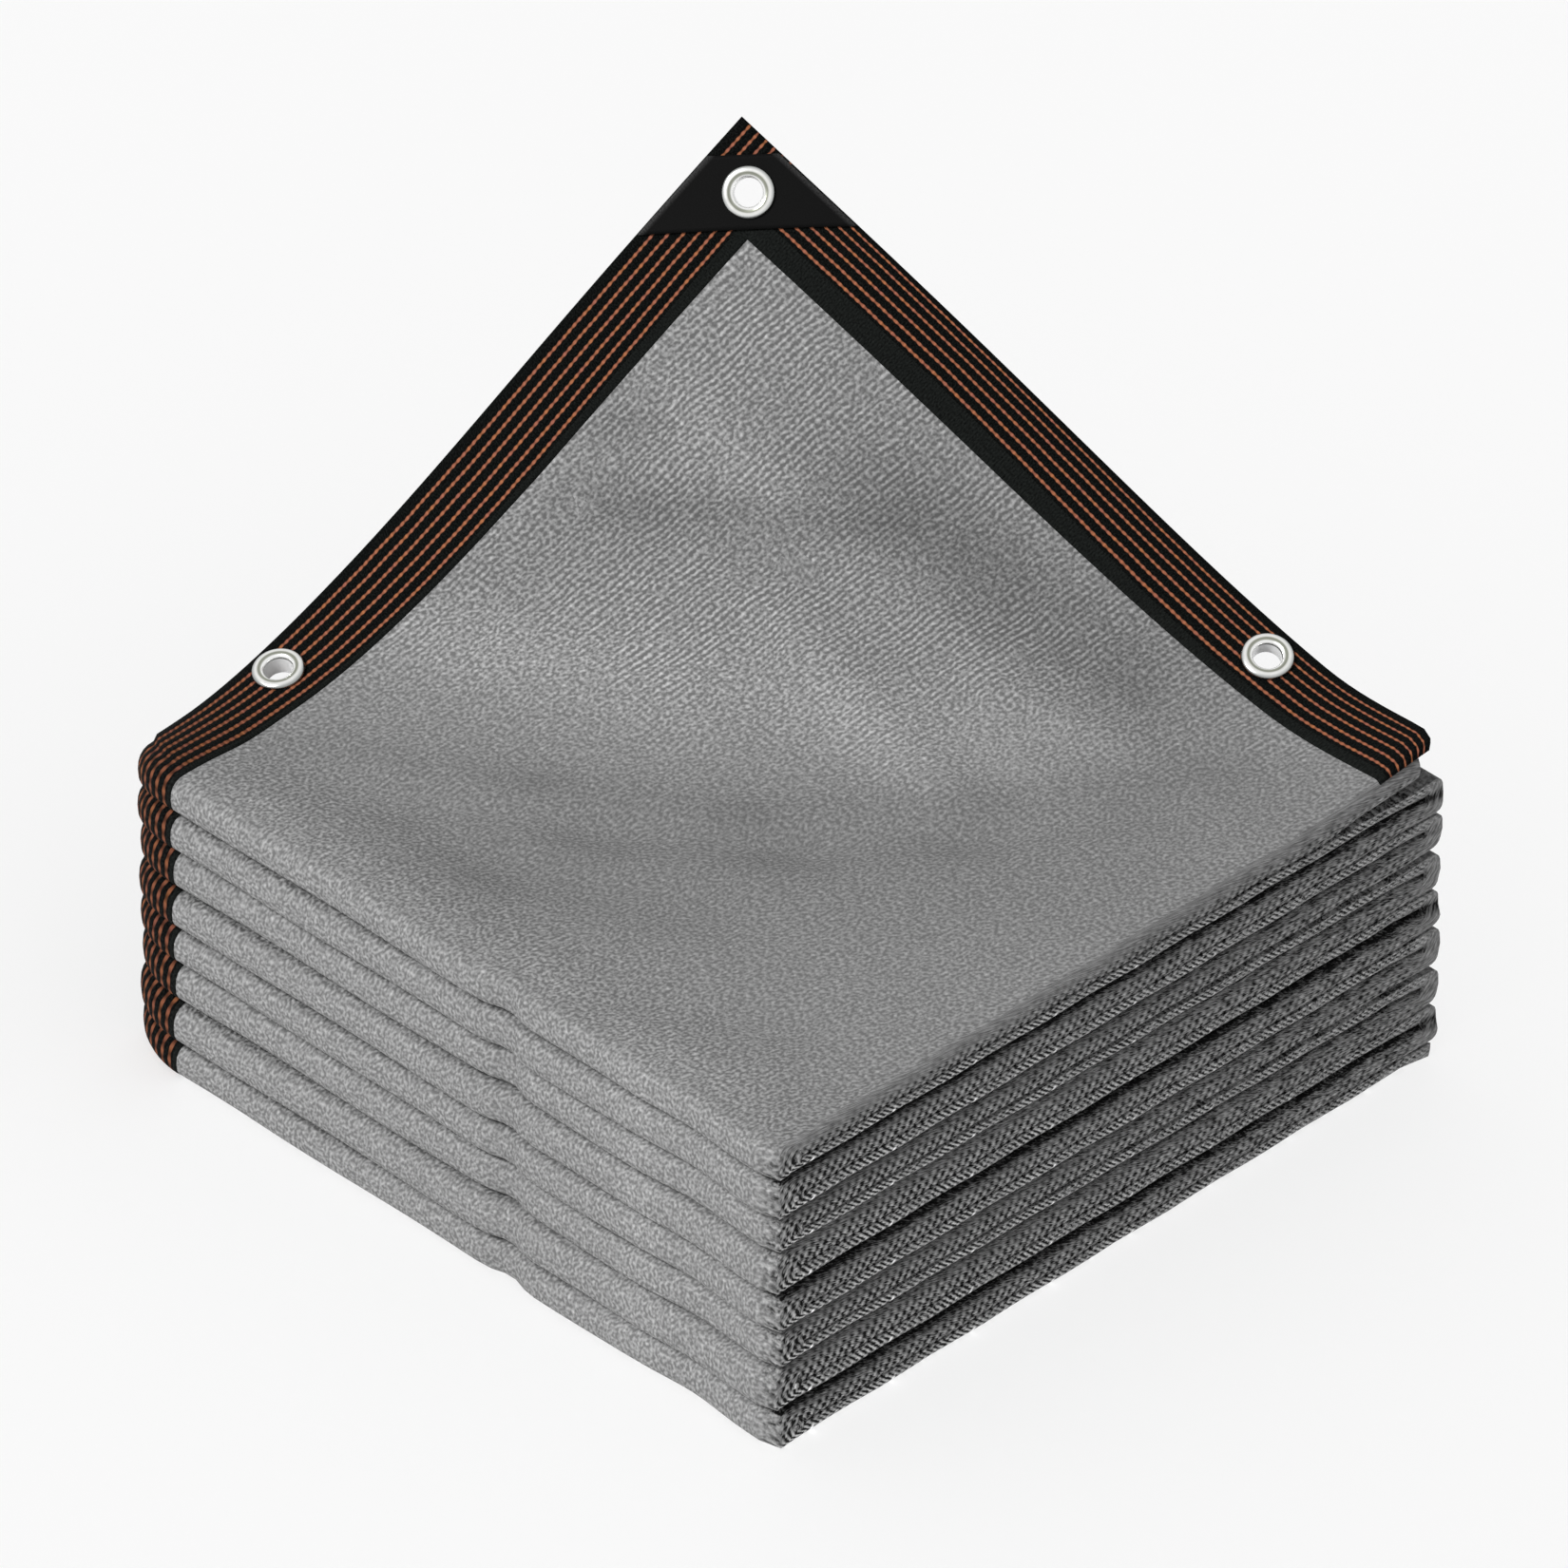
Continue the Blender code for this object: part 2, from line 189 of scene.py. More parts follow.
# How far the folded edge of each fold sits back on the right face, and how square a roll
# its two layers make together there
EDGE_BACK = np.array((0.4, 1.5, 0.9, 0.0, 1.8, 0.7, 0.0, 0.0)) * MM
ROLL_POWER = 2.1
# Soft creases on the top layer: from and to in plan (u, v), half width and height, in mm
CREASES = (
    (66, 239, 152, 273, 14, -3.0),
    (98, 161, 154, 185, 22, 2.8),
    (170, 253, 262, 235, 16, 3.4),
    (227, 318, 293, 337, 10, -2.4),
    (250, 293, 310, 309, 9, 2.0),
    (139, 322, 213, 333, 20, -2.6),
    (123, 69, 191, 111, 15, -3.0),
    (191, 111, 257, 161, 15, -3.4),
    (257, 161, 304, 218, 15, -3.2),
    (304, 218, 346, 280, 14, -2.4),
    (58, 47, 174, 62, 18, -2.6),
    (174, 62, 268, 99, 17, -2.4),
    (286, 29, 348, 71, 14, -2.0),
)
# Painted light and shade on the top layer, in soft bands that are lighter or darker: the same
# lines, with the change of its tone
PAINTED_SHADING = (
    (58, 142, 268, 260, 26, 0.17),
    (168, 330, 280, 342, 26, -0.27),
    (71, 240, 160, 310, 9, -0.16),
    (34, 258, 56, 274, 9, -0.16),
    (70, 292, 113, 290, 12, 0.12),
    (43, 170, 75, 225, 22, -0.07),
    (58, 54, 145, 105, 12, -0.08),
    (145, 105, 222, 156, 12, -0.10),
    (222, 156, 291, 236, 12, -0.09),
    (291, 236, 349, 327, 12, -0.08),
    (187, 46, 368, 230, 44, -0.09),
    (343, 301, 388, 342, 30, -0.10),
    (65, 2, 363, 8, 9, 0.14),
)


def levels(thicknesses):
    """Heights of the creases at one corner: the running sum of the folds' thicknesses."""
    return np.concatenate(([0.0], np.cumsum(thicknesses)))


LEVELS = (levels(FOLD_LEFT), levels(FOLD_FRONT), levels(FOLD_RIGHT))
STACK_HEIGHT = LEVELS[1][-1]


def crease_height(number, u, v):
    """Height of a crease in plan: blended across u and along v between its four corners,
    where the hidden back corner takes the mean of its two neighbours."""
    left, front, right = (level[number] for level in LEVELS)
    back = (left + right) / 2
    across = u / WIDE
    along = v / DEEP
    return (1 - along) * ((1 - across) * left + across * front) + along * (
        (1 - across) * back + across * right
    )


def droop(u):
    """Sag of the webbing's free edge: a square law from the webbing's inner edge."""
    return DROOP * np.maximum(1 - u / BINDING, 0.0) ** 2


def layer_middle(layer, u, v):
    """Height of a flat layer's middle, at one or three quarters of its fold, less the sag
    that grows with the height, and a quarter of the fold's thickness."""
    fold, upper = divmod(layer, 2)
    low = crease_height(fold, u, v)
    high = crease_height(fold + 1, u, v)
    quarter = (high - low) / 4
    height = low + quarter * (3 if upper else 1)
    slack = np.maximum(height - DROOP_FLOOR, 0.0) / (STACK_HEIGHT - DROOP_FLOOR)
    return height - slack * droop(u), quarter


def rounding(reach, radius):
    """Draw back of a round corner: the radius less the arc's height at that reach."""
    past = np.clip(reach, 0.0, radius)
    return radius - np.sqrt(radius ** 2 - past ** 2)


def bell_at(u, place, half_width, height):
    """Bell curve round a place: its height times e to the minus square of the distance in
    half widths."""
    return height * np.exp(-((u - place) / half_width) ** 2)


def nose(fold, u):
    """Place of a fold's outermost line: its own set back, what all the folds share, the curl
    at the left corner and the round front corner."""
    wave = NOSE_WAVE * np.sin(u / WIDE * 17 + fold * 2.1)
    inside = np.clip((u - BINDING) / (40 * MM), 0.0, 1.0) * np.clip((WIDE - u) / (30 * MM), 0, 1)
    shared = NOSE_WAVE + wave + bell_at(u, *NOSE_GROOVE) + bell_at(u, *NOSE_HOLLOW)
    own = NOSE_BACK[fold] + shared * inside
    left = rounding(BINDING - u, CURL_RADIUS)
    front = rounding(u - (WIDE - FRONT_RADIUS), FRONT_RADIUS)
    return own + left + front


def creasing(creases, u, v):
    """Sum of the hand-placed creases: each is a bell across its line, which fades out past
    the line's ends over one and a half of its half widths."""
    height = np.zeros(np.broadcast(u, v).shape)
    for from_u, from_v, to_u, to_v, half_width, rise in creases:
        start = np.array((from_u, from_v)) * MM
        line = np.array((to_u, to_v)) * MM - start
        length = np.hypot(*line)
        line /= length
        along = (u - start[0]) * line[0] + (v - start[1]) * line[1]
        aside = (v - start[1]) * line[0] - (u - start[0]) * line[1]
        past = np.maximum(np.abs(along - length / 2) - length / 2, 0.0)
        reach = half_width * MM
        height += rise * np.exp(-(aside / reach) ** 2 - (past / (1.5 * reach)) ** 2)
    return height


def smooth_step(share):
    """Cubic that runs from 0 to 1 with level ends."""
    share = np.clip(share, 0.0, 1.0)
    return share ** 2 * (3 - 2 * share)


def lifted_middle(u, v, gap):
    """Middle of the top layer: the distance past the bending line is wrapped on an arc that
    runs out into a straight slope, and the layer thins out as it rises."""
    x = u - WIDE / 2
    y = v - DEEP / 2
    along = (x + y) / math.sqrt(2)
    out = (y - x) / math.sqrt(2)
    share = along / LIFT_HALF_LINE
    start = LIFT_START[0] + LIFT_START[1] * share + LIFT_START[2] * share ** 2
    past = np.maximum(out - start, 0.0)
    radius = LIFT_ARC / LIFT_ANGLE
    turned = np.minimum(past / radius, LIFT_ANGLE)
    straight = np.maximum(past - LIFT_ARC, 0.0)
    run = radius * np.sin(turned) + straight * math.cos(LIFT_ANGLE)
    rise = radius * (1 - np.cos(turned)) + straight * math.sin(LIFT_ANGLE)
    out = out + run - past
    along = along + LIFT_SHIFT * (past / LIFT_HALF_LINE) ** LIFT_SHIFT_POWER
    rise = rise + droop(u) * (1 - np.exp(-((v / DROOP_REACH) ** 2)))
    flat, quarter = layer_middle(TOP, u, v)
    full = quarter - gap / 2
    half = LIFTED_THICKNESS / 2 + (full - LIFTED_THICKNESS / 2) * np.exp(-rise / LIFTED_FADE)
    corner = CORNER_RISE * smooth_step((u - CORNER_FROM[0]) / (WIDE - CORNER_FROM[0]))
    corner = corner * smooth_step((v - CORNER_FROM[1]) / (DEEP - CORNER_FROM[1])) ** CORNER_POWER
    half = half + corner / 2
    height = flat - gap / 2 + rise + full - half + corner
    return np.stack(((along - out) / math.sqrt(2), (along + out) / math.sqrt(2), height), -1), half


def top_surface(u, v, gap):
    """Middle, unit normal and half thickness of the top layer, with its creases."""
    step = 0.5 * MM

    def creased(u, v):
        middle, half = lifted_middle(u, v, gap)
        side = lifted_middle(u + step, v, gap)[0] - middle
        ahead = lifted_middle(u, v + step, gap)[0] - middle
        normal = np.cross(side, ahead)
        normal /= np.linalg.norm(normal, axis=-1, keepdims=True)
        return middle + normal * creasing(CREASES, u, v)[..., None] * MM, half

    middle, half = creased(u, v)
    normal = np.cross(creased(u + step, v)[0] - middle, creased(u, v + step)[0] - middle)
    return middle, normal / np.linalg.norm(normal, axis=-1, keepdims=True), half


def turn(layer, u, angle, gap):
    """Middle, outward direction and half thickness in the turn from a layer to the next:
    an arc whose cosine and sine are raised to a power, which squares the fold's nose. The
    last output gives the height in folds as a base and a rise, less or more its share."""
    at_front = layer % 2 == 0
    low, quarter = layer_middle(layer, u, 0.0 if at_front else DEEP)
    high, next_quarter = layer_middle(layer + 1, u, 0.0 if at_front else DEEP)
    radius = (high - low) / 2
    half = np.minimum(quarter, next_quarter) - gap / 2
    if at_front:
        centre = nose(layer // 2, u) + half + radius
        base = layer // 2 + 0.5
        way = -1
    else:
        centre = DEEP - rounding(u - (WIDE - RIGHT_RADIUS), RIGHT_RADIUS) - half - radius
        base = layer // 2 + 1
        way = 1
    power = NOSE_POWER[0] + (NOSE_POWER[1] - NOSE_POWER[0]) * u / WIDE
    cosine = np.abs(np.cos(angle)) ** power
    sine = np.sign(np.sin(angle)) * np.abs(np.sin(angle)) ** power
    out = np.stack((np.zeros_like(u), way * cosine, sine), -1)
    middle = np.stack((u - WIDE / 2, centre - DEEP / 2, (low + high) / 2 - gap / 2), -1)
    rise = math.sin(angle) / 4
    folds = np.broadcast_to(np.array((base + rise, -way * rise)), (*u.shape, 2))
    return middle + out * radius[..., None], out * -way, half, folds


def folded_stack(u, first, last, gap):
    """Middle, normal, half thickness and height in folds on a grid: rows follow the sheet's
    length through all the layers from its lowest end, at v first, to its top end, at v
    last."""
    rows = []
    for layer in range(LAYERS - 1):
        after = turn(layer, u, -math.pi / 2, gap)
        if layer:
            before = turn(layer - 1, u, math.pi / 2, gap)
        else:
            height, quarter = layer_middle(0, u, first)
            place = first - DEEP / 2 + np.zeros_like(u)
            middle = np.stack((u - WIDE / 2, place, height - gap / 2), -1)
            before = (middle, after[1], quarter - gap / 2, after[3])
            rows.append(before)
        for row in range(1, LAYER_ROWS):
            share = row / LAYER_ROWS
            rows.append(tuple(a + (b - a) * share for a, b in zip(before, after)))
        for row in range(TURN_ROWS + 1):
            rows.append(turn(layer, u, math.pi * (row / TURN_ROWS - 0.5), gap))
    first_of_top = turn(TOP - 1, u, math.pi / 2, gap)
    begin = first_of_top[0][..., 1] + DEEP / 2
    for row in range(1, TOP_ROWS + 1):
        place = begin + (last - begin) * row / TOP_ROWS
        rows.append((*top_surface(u, place, gap), first_of_top[3]))
    return tuple(np.stack(part) for part in zip(*rows))


def hairpin(first, ply_columns, lower_columns):
    """Stations round the folded edge: u, the share of the half thickness, and the distance
    along the cloth. The two plies run straight and meet in a half circle."""
    flat = WIDE - EDGE_DEPTH
    upper = np.linspace(first, flat, ply_columns)
    angle = np.linspace(0, math.pi, EDGE_COLUMNS + 1)[1:-1]
    lower = np.linspace(flat, first, lower_columns)
    u = np.concatenate((upper, flat + EDGE_DEPTH * np.sin(angle), lower))
    share = np.concatenate((np.ones(ply_columns), np.cos(angle), -np.ones(lower_columns)))
    bend = math.pi * EDGE_DEPTH
    distance = np.concatenate((
        upper - first, flat - first + bend * angle / math.pi, 2 * flat - first + bend - lower,
    ))
    return u, share, distance


def make_piece(name, points, uv, material, tube=False):
    """Object through a grid of points. A tube's last column joins its first and its two
    ends are closed."""
    rows, columns = points.shape[:2]
    index = np.arange(rows * columns).reshape(rows, columns)
    corner = np.arange(uv.shape[0] * uv.shape[1]).reshape(uv.shape[:2])
    if tube:
        index = np.concatenate((index, index[:, :1]), 1)
    quads = np.stack((index[:-1, :-1], index[:-1, 1:], index[1:, 1:], index[1:, :-1]), -1)
    corners = np.stack((corner[:-1, :-1], corner[:-1, 1:], corner[1:, 1:], corner[1:, :-1]), -1)
    faces = quads.reshape(-1, 4).tolist()
    places = corners.ravel().tolist()
    if tube:
        faces.append(index[0, :-1][::-1].tolist())
        places += corner[0, :-1][::-1].tolist()
        faces.append(index[-1, :-1].tolist())
        places += corner[-1, :-1].tolist()
    mesh = bpy.data.meshes.new(name)
    mesh.from_pydata((points.reshape(-1, 3) + CENTRING).tolist(), [], faces)
    layer = mesh.uv_layers.new(name="along_cloth")
    layer.data.foreach_set("uv", uv.reshape(-1, 2)[places].ravel())
    mesh.shade_smooth()
    mesh.materials.append(material)
    piece = bpy.data.objects.new(name, mesh)
    scene.collection.objects.link(piece)
    return piece


def add_node(tree, kind, inputs=(), **settings):
    """A shader node with its settings, whose inputs are set or wired."""
    item = tree.nodes.new(kind)
    for name, value in settings.items():
        setattr(item, name, value)
    for socket, value in dict(inputs).items():
        if isinstance(value, bpy.types.NodeSocket):
            tree.links.new(value, item.inputs[socket])
        else:
            item.inputs[socket].default_value = value
    return item


def arithmetic(tree, operation, *values, clamp=False):
    """Output of a Math node on the given values or sockets."""
    item = add_node(tree, "ShaderNodeMath", dict(enumerate(values)), operation=operation)
    item.use_clamp = clamp
    return item.outputs[0]


def sums(tree):
    """Functions that add and multiply any count of values or sockets in the tree. One value
    stays as it is, and a clamped sum is held between 0 and 1 at each step."""

    def chain(operation, values, clamp=False):
        total = values[0]
        for value in values[1:]:
            total = arithmetic(tree, operation, total, value, clamp=clamp)
        return total

    def plus(*values, clamp=False):
        return chain("ADD", values, clamp)

    def times(*values):
        return chain("MULTIPLY", values)

    return plus, times


def new_finish(name, roughness):
    """A material with its node tree and its Principled shader."""
    material = bpy.data.materials.new(name)
    material.use_nodes = True
    tree = material.node_tree
    shader = tree.nodes["Principled BSDF"]
    shader.inputs["Roughness"].default_value = roughness
    return material, tree, shader


def piece_value(tree, name):
    """The value that the piece holds under this name at each of its points."""
    return add_node(tree, "ShaderNodeAttribute", attribute_name=name).outputs["Fac"]


def emboss(tree, shader, height, strength, distance):
    """Fine relief on the finish, from a height."""
    bump = add_node(tree, "ShaderNodeBump", {
        "Strength": strength, "Distance": distance, "Height": height,
    })
    tree.links.new(bump.outputs[0], shader.inputs["Normal"])


def cloth_place(tree):
    """The surface's own coordinates in millimetres: across the cloth and along it."""
    place = add_node(tree, "ShaderNodeUVMap", uv_map="along_cloth").outputs[0]
    scaled = add_node(
        tree, "ShaderNodeVectorMath", {0: place, 3: 1000.0}, operation="SCALE"
    ).outputs[0]
    parts = add_node(tree, "ShaderNodeSeparateXYZ", {0: scaled})
    return parts.outputs[0], parts.outputs[1]


def stretched_noise(tree, across, along, width, length, detail=1.0):
    """Noise whose grains are width across the cloth and length along it, about zero."""
    grid = add_node(tree, "ShaderNodeCombineXYZ", {
        0: arithmetic(tree, "DIVIDE", across, width),
        1: arithmetic(tree, "DIVIDE", along, length),
    }).outputs[0]
    noise = add_node(tree, "ShaderNodeTexNoise", {"Vector": grid, "Scale": 1.0, "Detail": detail})
    return arithmetic(tree, "SUBTRACT", noise.outputs[0], 0.5)


# Pitches of the stitches and of their rows, in mm, and how far a row slants for each mm
# along the cloth
STITCH_PITCH = 2.9
ROW_PITCH = 2.96
ROW_SLANT = -0.105
# Pitches along the folded edge, in mm: its holes, yarns, knots and the groups they gather in
HOLE_PITCH = 4.65
YARN_PITCH = 3.3
KNOT_PITCH = 4.82
GROUP_PITCH = 48.2
# From one row of holes to the next, as a share of a fold's height
HOLE_ROW_PITCH = 0.30
KNIT_GREY = 0.257
KNIT_DARKEST = 0.008


def knit_finish():
    """Grey melange knit: slanting rows of stitches, each a bright crown of its own, among
    light and dark flecks. Round the folded edge the stitches open. Each fold has rows of dark
    holes above its middle, slanting light yarns below it, and a row of light knots near its
    lower crease, all of them weaker towards the back."""
    material, tree, shader = new_finish("knit", 0.92)
    shader.inputs["Specular IOR Level"].default_value = 0.1
    across, along = cloth_place(tree)
    plus, times = sums(tree)

    def wave(*turns):
        return arithmetic(tree, "COSINE", times(plus(*turns), 2 * math.pi))

    def bell(turns, sharpness):
        share = plus(0.5, times(wave(*turns), 0.5))
        return arithmetic(tree, "POWER", share, sharpness)

    drift = stretched_noise(tree, across, along, 16.0, 26.0)
    skewed = plus(across, times(along, ROW_SLANT), times(drift, 4.2))
    grid = add_node(tree, "ShaderNodeCombineXYZ", {
        0: arithmetic(tree, "DIVIDE", skewed, STITCH_PITCH),
        1: arithmetic(tree, "DIVIDE", along, STITCH_PITCH),
    }).outputs[0]
    stitch = add_node(
        tree, "ShaderNodeTexVoronoi", {"Vector": grid, "Scale": 1.0, "Randomness": 0.8}
    )
    crown = arithmetic(tree, "MAXIMUM", plus(0.52, times(stitch.outputs["Distance"], -1.0)), 0.0)
    crown = plus(times(crown, crown), -0.05)
    rows = arithmetic(tree, "SINE", times(skewed, 2 * math.pi / ROW_PITCH))
    blobs = stretched_noise(tree, skewed, along, 1.5, 1.9, 0.0)
    flecks = stretched_noise(tree, across, along, 0.8, 1.0)
    clouds = stretched_noise(tree, across, along, 12.0, 15.0)
    ordered = plus(0.26, times(stretched_noise(tree, across, along, 45.0, 60.0), 0.8))
    ordered = times(ordered, piece_value(tree, "rowed"))
    surface = plus(
        times(crown, 1.8), times(blobs, 1.5), times(rows, ordered), times(flecks, 0.8),
        times(clouds, 0.14),
    )
    # Painted light and shade on the top, and the noses' tone, lighten or darken the knit and
    # strengthen its texture
    painted_shading_and_tone = piece_value(tree, "painted_shading_and_tone")
    contrast = plus(1.27, times(piece_value(tree, "napped"), -0.30), times(painted_shading_and_tone, 1.4))
    surface = arithmetic(tree, "MAXIMUM", surface, -0.36)
    tone = plus(1.0, times(surface, contrast), painted_shading_and_tone)

    folds = piece_value(tree, "fold_height")
    depth = piece_value(tree, "depth")
    jitter = times(blobs, 0.45)
    towards_back = times(depth, 1 / 400)
    groups = bell((times(depth, 1 / GROUP_PITCH), -0.25), 1.0)
    holes = times(
        bell((folds, -0.62), 1.3),
        wave(times(depth, 1 / HOLE_PITCH), jitter),
        wave(times(folds, 1 / HOLE_ROW_PITCH), -2.07, jitter),
    )
    yarns = times(
        bell((folds, -0.30), 3.0),
        wave(times(depth, 1 / YARN_PITCH), times(folds, 5.87), jitter),
        plus(0.45, times(groups, 0.55)),
    )
    knots = times(
        bell((folds, -0.15), 10.0),
        bell((times(depth, 1 / KNOT_PITCH),), 2.0),
        plus(0.7, times(bell((times(depth, 1 / GROUP_PITCH), -0.5), 70.0), 1.8)),
    )
    streaks = times(
        stretched_noise(tree, times(folds, 19.6), depth, 1.1, 9.0), towards_back, 2.6
    )
    fade = plus(1.0, times(towards_back, -0.62))
    gaps = plus(
        times(plus(times(holes, 1.6), times(yarns, 2.1), times(knots, fade, 2.6)), fade),
        times(flecks, 2.2), times(streaks, 1.3), -0.20,
    )
    gaps = times(gaps, piece_value(tree, "opened"))
    # Painted shade darkens the creases between the folds
    crease_shade = times(bell((folds,), 14.0), piece_value(tree, "painted_crease_shade"))
    tone = plus(tone, gaps, times(crease_shade, -0.8))
    grey = arithmetic(tree, "MAXIMUM", times(tone, KNIT_GREY), KNIT_DARKEST)
    colour = add_node(tree, "ShaderNodeCombineColor", {0: grey, 1: grey, 2: grey}).outputs[0]
    tree.links.new(colour, shader.inputs["Base Color"])
    emboss(tree, shader, plus(surface, gaps), 0.35, 0.5 * MM)
    return material


def set_attribute(piece, name, values):
    """A value for each point of the piece, which its finish reads."""
    data = piece.data.attributes.new(name, "FLOAT", "POINT")
    data.data.foreach_set("value", np.ascontiguousarray(values, dtype=np.float32).ravel())


# How far the knit's edge goes into the webbing, and where the webbing on a lower ply stops
HIDDEN_IN_BINDING = 3 * MM
LOWER_END_STOP = 386 * MM
# How far the end webbing of the top layer turns round the folded edge, its round corner, and
# how far the knit stays inside that
TAPE_WRAP = math.radians(45)
TAPE_CORNER = 13 * MM
KNIT_BELOW_CORNER = 1 * MM
# The rolls of the folded edge are a little lumpy. They end square at the back, and the top
# one is flat where the layer lifts.
LUMP_HEIGHT = 0.35 * MM
LUMP_LENGTH = 9 * MM
SQUARE_END = 14 * MM
FLAT_FROM = 75 * MM
FLAT_OVER = 40 * MM
# How far in from the folded edge the stitches are open, on the top and elsewhere
OPEN_ON_TOP = 11 * MM
OPEN_ELSEWHERE = 4 * MM
# A pale place along the noses, and painted shade over their narrow groove: place, half width and
# change of tone
NOSE_PALE = (322 * MM, 16 * MM, 0.09)
NOSE_PAINTED_SHADE = (243 * MM, 8 * MM, -0.07)

u_line, ply_share, cloth_distance = hairpin(
    BINDING - HIDDEN_IN_BINDING, PLY_COLUMNS, LOWER_PLY_COLUMNS
)

# Both ends of the sheet lie in the webbing. Past its stop they run out to the back, where the
# right corner is round.
at_edge = u_line >= WIDE - EDGE_DEPTH - 0.1 * MM
outermost = np.where(at_edge, WIDE, u_line)
in_webbing = DEEP - BINDING + HIDDEN_IN_BINDING
past_stop = np.clip((u_line - LOWER_END_STOP) / (2 * HIDDEN_IN_BINDING), 0.0, 1.0)
round_first = DEEP - rounding(outermost - (WIDE - RIGHT_RADIUS), RIGHT_RADIUS)
first_row = in_webbing + (round_first - in_webbing) * past_stop
below_tape = past_stop * (ply_share < math.cos(TAPE_WRAP) + 0.01)
round_last = DEEP - rounding(outermost - (WIDE - TAPE_CORNER), TAPE_CORNER) - KNIT_BELOW_CORNER
last_row = in_webbing + (round_last - in_webbing) * below_tape
middle, normal, half, folds = folded_stack(u_line, first_row, last_row, CLOTH_GAP)
cloth_points = middle + normal * (half * ply_share)[..., None]
fold_height = folds[..., 0] + folds[..., 1] * ply_share
depth = cloth_points[..., 1] + DEEP / 2
top_share = np.arange(len(middle)) - (len(middle) - TOP_ROWS - 1)
top_share = np.maximum(top_share, 0)[:, None] / TOP_ROWS
top_v = top_share * last_row

# The two layers of a fold make one roll at the folded edge
roll = 1 - np.abs(2 * (fold_height % 1) - 1) ** ROLL_POWER
roll = 1 - (1 - roll) * np.clip((DEEP - depth) / SQUARE_END, 0.0, 1.0)
edge_back = EDGE_BACK[np.clip(fold_height.astype(int), 0, len(EDGE_BACK) - 1)]
lumps = LUMP_HEIGHT * np.sin(depth / LUMP_LENGTH + 3 * fold_height)
rolled = EDGE_DEPTH * (np.sqrt(roll) - np.sqrt(1 - ply_share ** 2)) - edge_back + lumps
rolled *= 1 - smooth_step((top_v - DEEP + FLAT_FROM) / FLAT_OVER)
cloth_points[..., 0] += rolled * at_edge

# The distance along the sheet is measured on the middle of each ply
ply_middles = cloth_points[:, (PLY_COLUMNS // 2, -LOWER_PLY_COLUMNS // 2)]
row_length = np.linalg.norm(np.diff(ply_middles, axis=0), axis=-1)
upper_run, lower_run = np.concatenate((np.zeros((1, 2)), np.cumsum(row_length, axis=0))).T
cloth_run = (upper_run + lower_run)[:, None] / 2 + (upper_run - lower_run)[:, None] / 2 * ply_share
cloth_uv = np.stack(np.broadcast_arrays(cloth_distance[None, :], cloth_run), -1)
cloth = make_piece("shade_cloth", cloth_points, cloth_uv, knit_finish())

# What the finish reads at each point. Stitches are open near the folded edge, least on the top,
# and painted shade darkens the creases between the folds, darkest at every third. The top carries
# painted light and shade, and the noses a tone of their own with painted shade over their groove.
# Low parts of the top are napped, and its rows show where it lifts.
top_row = top_share > 0
on_top = top_row & (ply_share > 0.99)
reach = np.where(on_top, OPEN_ON_TOP, OPEN_ELSEWHERE)
near_edge = np.clip(1 - (WIDE - EDGE_DEPTH - u_line) / reach, 0.0, 1.0)
front_share = 0.35 * np.clip(1 - np.clip(depth / DEEP, 0.0, 1.0) / 0.4, 0.0, 1.0)
opened = near_edge * np.where(on_top, front_share, 1.0)
opened = opened * np.clip((len(FOLD_LEFT) - 0.1 - fold_height) / 0.5, 0.2, 1.0)
opened = opened * np.clip(depth / (9 * MM), 0.15, 1.0)
opened = opened * np.clip((DEEP - depth - 3 * MM) / (18 * MM), 0.05, 1.0)
# Painted shade in the creases between folds: on the folded edge darkest at every third, elsewhere
# weaker towards the front corner
deepest_crease_shade = np.maximum(np.cos(2 * math.pi * (fold_height - 1) / 3), 0.0) ** 2
painted_crease_shade = np.where(at_edge, 0.2 + 0.8 * deepest_crease_shade, 0.10 + 0.5 * (1 - u_line / WIDE))
# Painted light and shade on the top: the listed bands, with the troughs of the creases darker and
# their ridges lighter
painted_shading_and_tone = creasing(PAINTED_SHADING, u_line, top_v) + 0.02 * creasing(CREASES, u_line, top_v)
# The noses take a slight lift in tone, a pale place, and painted shade over their groove
on_nose = 0.05 + bell_at(u_line, *NOSE_PALE) + bell_at(u_line, *NOSE_PAINTED_SHADE)
low = np.clip(1 - (cloth_points[..., 2] - STACK_HEIGHT) / (14 * MM), 0.0, 1.0)
napped = low * np.clip((depth - 5 * MM) / (70 * MM), 0.3, 1.0)
set_attribute(cloth, "opened", opened)
set_attribute(cloth, "painted_crease_shade", painted_crease_shade * (np.abs(fold_height - 4) < 3.6))
set_attribute(cloth, "fold_height", fold_height)
set_attribute(cloth, "depth", depth / MM)
set_attribute(cloth, "painted_shading_and_tone", np.where(top_row, painted_shading_and_tone, on_nose))
set_attribute(cloth, "napped", np.where(on_top, napped, 0.5))
set_attribute(cloth, "rowed", np.where(on_top, 1 - 0.75 * low, 0.15))
thicken = cloth.modifiers.new("ply", "SOLIDIFY")
thicken.thickness = CLOTH_THICKNESS
thicken.offset = -1.0
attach(cloth, "root")
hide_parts("cloth", "cloth_lifted")

# Webbing binding
# Woven black webbing with six thin orange stripes, sewn round the edges of both plies. It
# turns with every layer at the left corner and runs up the left edge of the lifted corner.
WEBBING_THICKNESS = 1.9 * MM
WEBBING_ROUND = 0.8 * MM
WEBBING_WIDTH = 38 * MM
WEBBING_PROUD = 0.25 * MM
STRIP_COLUMNS = 15
